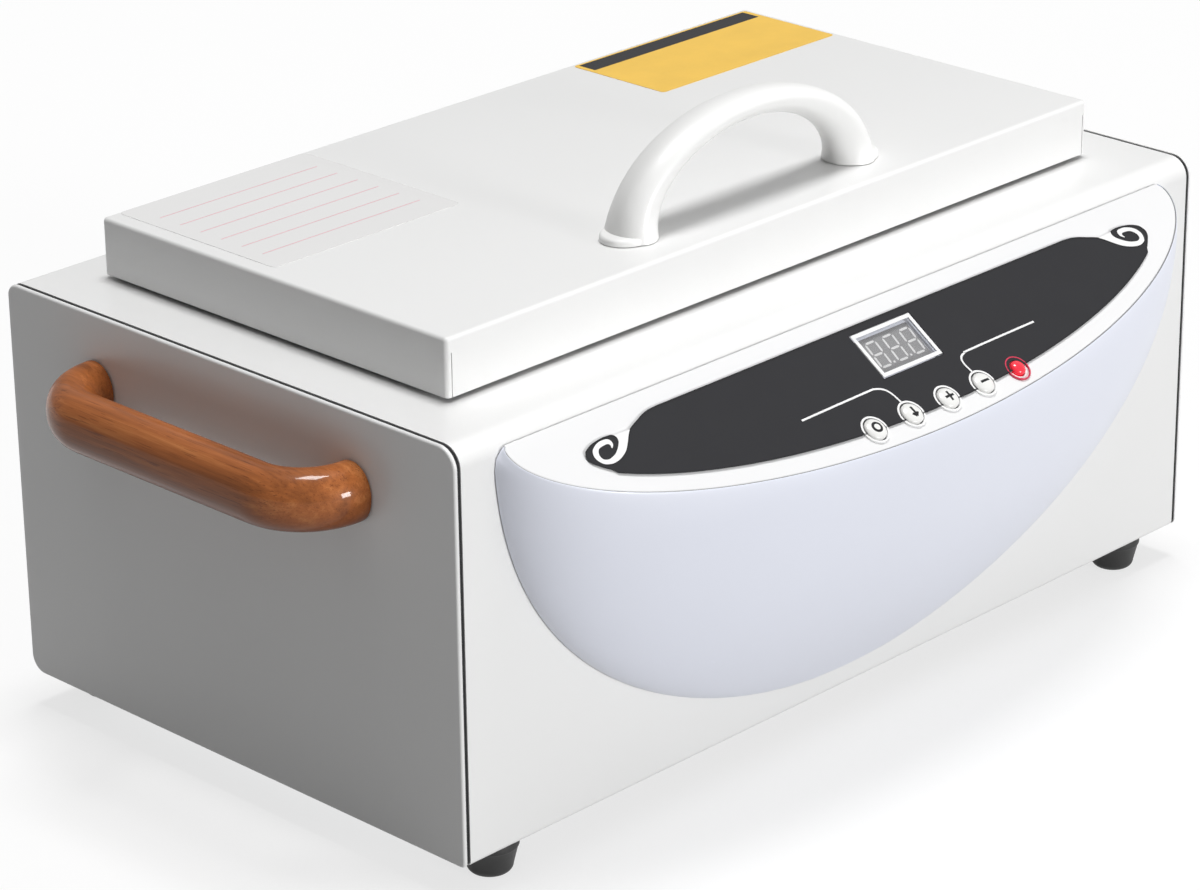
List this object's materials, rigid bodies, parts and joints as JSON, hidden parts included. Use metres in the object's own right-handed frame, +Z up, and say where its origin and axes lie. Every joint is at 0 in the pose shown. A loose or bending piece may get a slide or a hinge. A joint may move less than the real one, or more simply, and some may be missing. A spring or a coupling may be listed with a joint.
{
  "type": "dry heat sterilizer",
  "caption": "Bench box with a rear-hinged lid over a heated chamber, a bulging front with a sloped control panel, wooden bow handles and rubber feet.",
  "frame": {"origin": "middle of the whole object's footprint, on the surface that its feet stand on", "axes": "+X along the cabinet towards the right-hand end as the user faces it, +Y towards the rear, +Z up"},
  "size_m": [0.4196, 0.2568, 0.2098],
  "materials": {
    "white_enamel": "smooth white powder coat",
    "fascia_plastic": "glossy pale lavender-white moulding",
    "panel_plastic": "glossy white",
    "overlay_film": "printed charcoal film",
    "window_plastic": "smoked window",
    "display_plastic": "dark moulding",
    "board_laminate": "green solder mask",
    "clear_button": "translucent white",
    "red_button": "translucent red",
    "varnished_wood": "glossy varnish over orange-brown grain",
    "black_rubber": "moulded black rubber",
    "handle_plastic": "glossy white moulding",
    "stainless": "brushed stainless steel",
    "zinc_steel": "zinc-plated steel",
    "heater_sheath": "heat-stained sheath",
    "glass_fibre": "pressed fibre board",
    "silicone": "dark silicone",
    "black_plastic": "black moulding",
    "core_steel": "lacquered laminations"
  },
  "bodies": {
    "cabinet": {"cabinet_wrapper": "white_enamel", "base_plate": "zinc_steel", "end_plate_left": "white_enamel", "end_plate_right": "white_enamel", "wood_handle_left": "varnished_wood", "wood_handle_right": "varnished_wood", "wood_handle_screw_left_front": "zinc_steel", "wood_handle_screw_left_rear": "zinc_steel", "wood_handle_screw_right_front": "zinc_steel", "wood_handle_screw_right_rear": "zinc_steel", "rubber_foot_left_front": "black_rubber", "rubber_foot_left_rear": "black_rubber", "rubber_foot_right_front": "black_rubber", "rubber_foot_right_rear": "black_rubber", "foot_screw_left_front": "zinc_steel", "foot_screw_left_rear": "zinc_steel", "foot_screw_right_front": "zinc_steel", "foot_screw_right_rear": "zinc_steel", "fascia_shell": "fascia_plastic", "fascia_screw_left_lower": "zinc_steel", "fascia_screw_left_upper": "zinc_steel", "fascia_screw_right_lower": "zinc_steel", "fascia_screw_right_upper": "zinc_steel", "control_panel": "panel_plastic", "panel_overlay": "overlay_film", "display_window": "window_plastic", "display_module": "display_plastic", "control_board": "board_laminate", "chamber_tank": "stainless", "heating_element": "heater_sheath", "element_clamp_left": "zinc_steel", "element_clamp_right": "zinc_steel", "heat_shield": "zinc_steel", "insulation_board": "glass_fibre", "temperature_probe": "stainless", "thermal_cut_out": "black_plastic", "power_inlet": "black_plastic", "power_board": "board_laminate", "transformer": "core_steel", "hinge_left_body_leaf": "stainless", "hinge_left_pin": "stainless", "hinge_right_body_leaf": "stainless", "hinge_right_pin": "stainless"},
    "lid": {"lid_shell": "white_enamel", "lid_liner": "stainless", "lid_insulation": "glass_fibre", "lid_gasket": "silicone", "lid_handle": "handle_plastic", "lid_handle_screw_left": "zinc_steel", "lid_handle_screw_right": "zinc_steel", "hinge_left_lid_leaf": "stainless", "hinge_right_lid_leaf": "stainless"},
    "tray": {"instrument_tray": "stainless"},
    "bail_left": {"tray_bail_left": "stainless"},
    "bail_right": {"tray_bail_right": "stainless"},
    "power_button": {"power_button": "clear_button"},
    "down_button": {"down_button": "clear_button"},
    "plus_button": {"plus_button": "clear_button"},
    "minus_button": {"minus_button": "clear_button"},
    "timer_button": {"timer_button": "red_button"}
  },
  "joints": [
    {"name": "lid_hinge", "type": "hinge", "parent": "cabinet", "child": "lid", "pos_m": [0, 0.1084, 0.1558], "axis": [-1, 0, 0], "range_deg": [0, 100]},
    {"name": "tray_lift", "type": "slide", "parent": "cabinet", "child": "tray", "axis": [0, 0, 1], "range_m": [0, 0.024]},
    {"name": "bail_left_swing", "type": "hinge", "parent": "tray", "child": "bail_left", "pos_m": [-0.1253, 0.02435, 0.0958], "axis": [0, -1, 0], "range_deg": [0, 90]},
    {"name": "bail_right_swing", "type": "hinge", "parent": "tray", "child": "bail_right", "pos_m": [0.1253, 0.02435, 0.0958], "axis": [0, 1, 0], "range_deg": [0, 90]},
    {"name": "power_button_press", "type": "slide", "parent": "cabinet", "child": "power_button", "axis": [0, 0.5664, -0.8241], "range_m": [0, 0.001], "stiffness_N_per_m": 400, "springref_m": -0.001},
    {"name": "down_button_press", "type": "slide", "parent": "cabinet", "child": "down_button", "axis": [0, 0.5664, -0.8241], "range_m": [0, 0.001], "stiffness_N_per_m": 400, "springref_m": -0.001},
    {"name": "plus_button_press", "type": "slide", "parent": "cabinet", "child": "plus_button", "axis": [0, 0.5664, -0.8241], "range_m": [0, 0.001], "stiffness_N_per_m": 400, "springref_m": -0.001},
    {"name": "minus_button_press", "type": "slide", "parent": "cabinet", "child": "minus_button", "axis": [0, 0.5664, -0.8241], "range_m": [0, 0.001], "stiffness_N_per_m": 400, "springref_m": -0.001},
    {"name": "timer_button_press", "type": "slide", "parent": "cabinet", "child": "timer_button", "axis": [0, 0.5664, -0.8241], "range_m": [0, 0.001], "stiffness_N_per_m": 400, "springref_m": -0.001}
  ]
}
